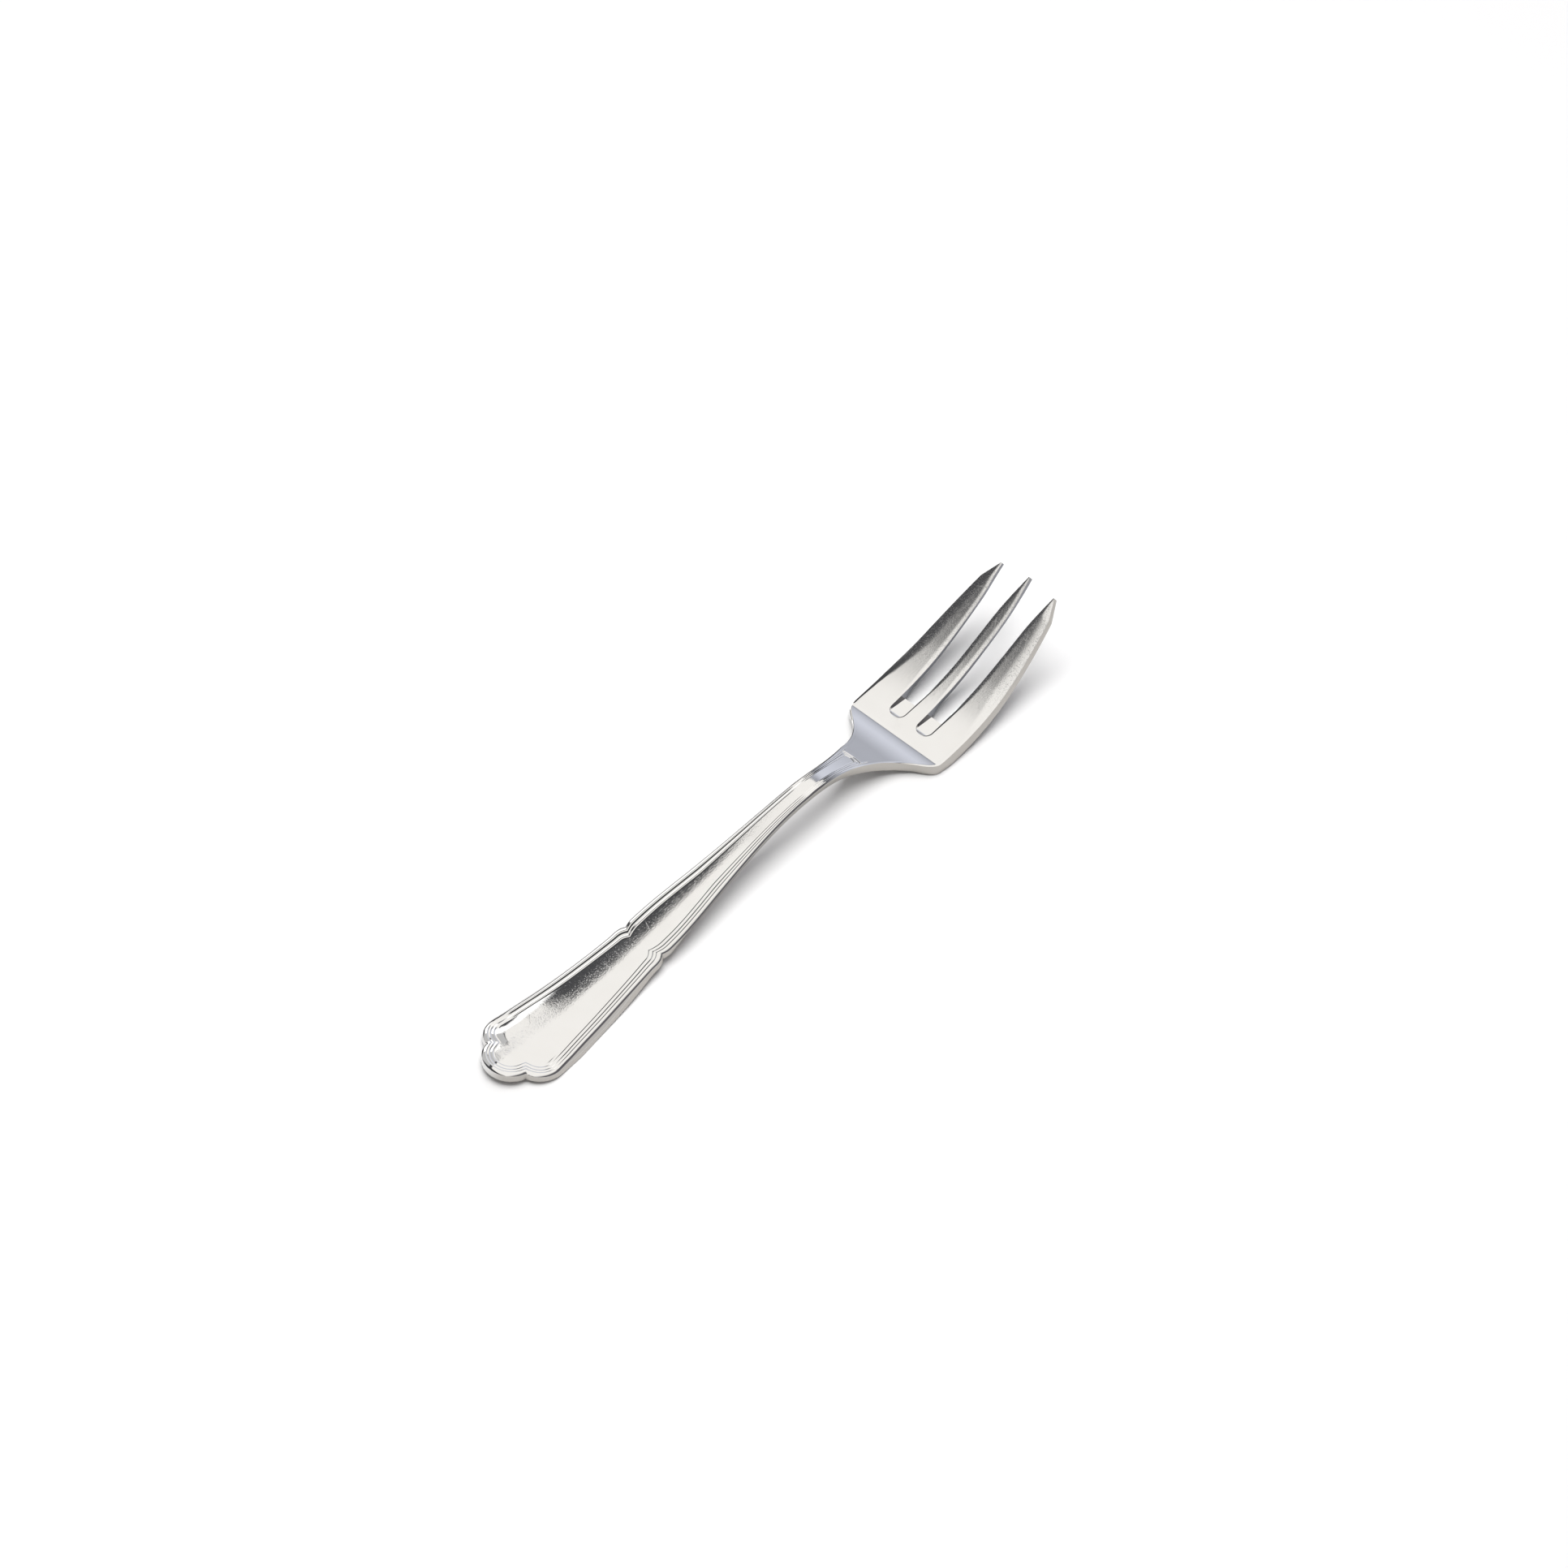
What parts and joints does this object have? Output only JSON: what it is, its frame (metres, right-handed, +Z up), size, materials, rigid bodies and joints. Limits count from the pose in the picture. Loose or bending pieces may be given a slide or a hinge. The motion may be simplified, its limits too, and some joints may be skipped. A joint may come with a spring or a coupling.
{
  "type": "appetizer fork",
  "caption": "Small appetizer fork with a cusped, thread-bordered handle, an arched neck and slender upturned tines for spearing bites of food.",
  "frame": {"origin": "bottom centre of the fork's box, on the plane it rests on", "axes": "+Y along the fork from the handle's end to the tine tips, +X across it, +Z up from the plane it rests on, out of the decorated face"},
  "size_m": [0.024, 0.152, 0.0166],
  "materials": {
    "polished_steel": "mirror-polished stainless steel with fine wear scratches"
  },
  "bodies": {
    "root": {"fork": "polished_steel"}
  },
  "joints": []
}
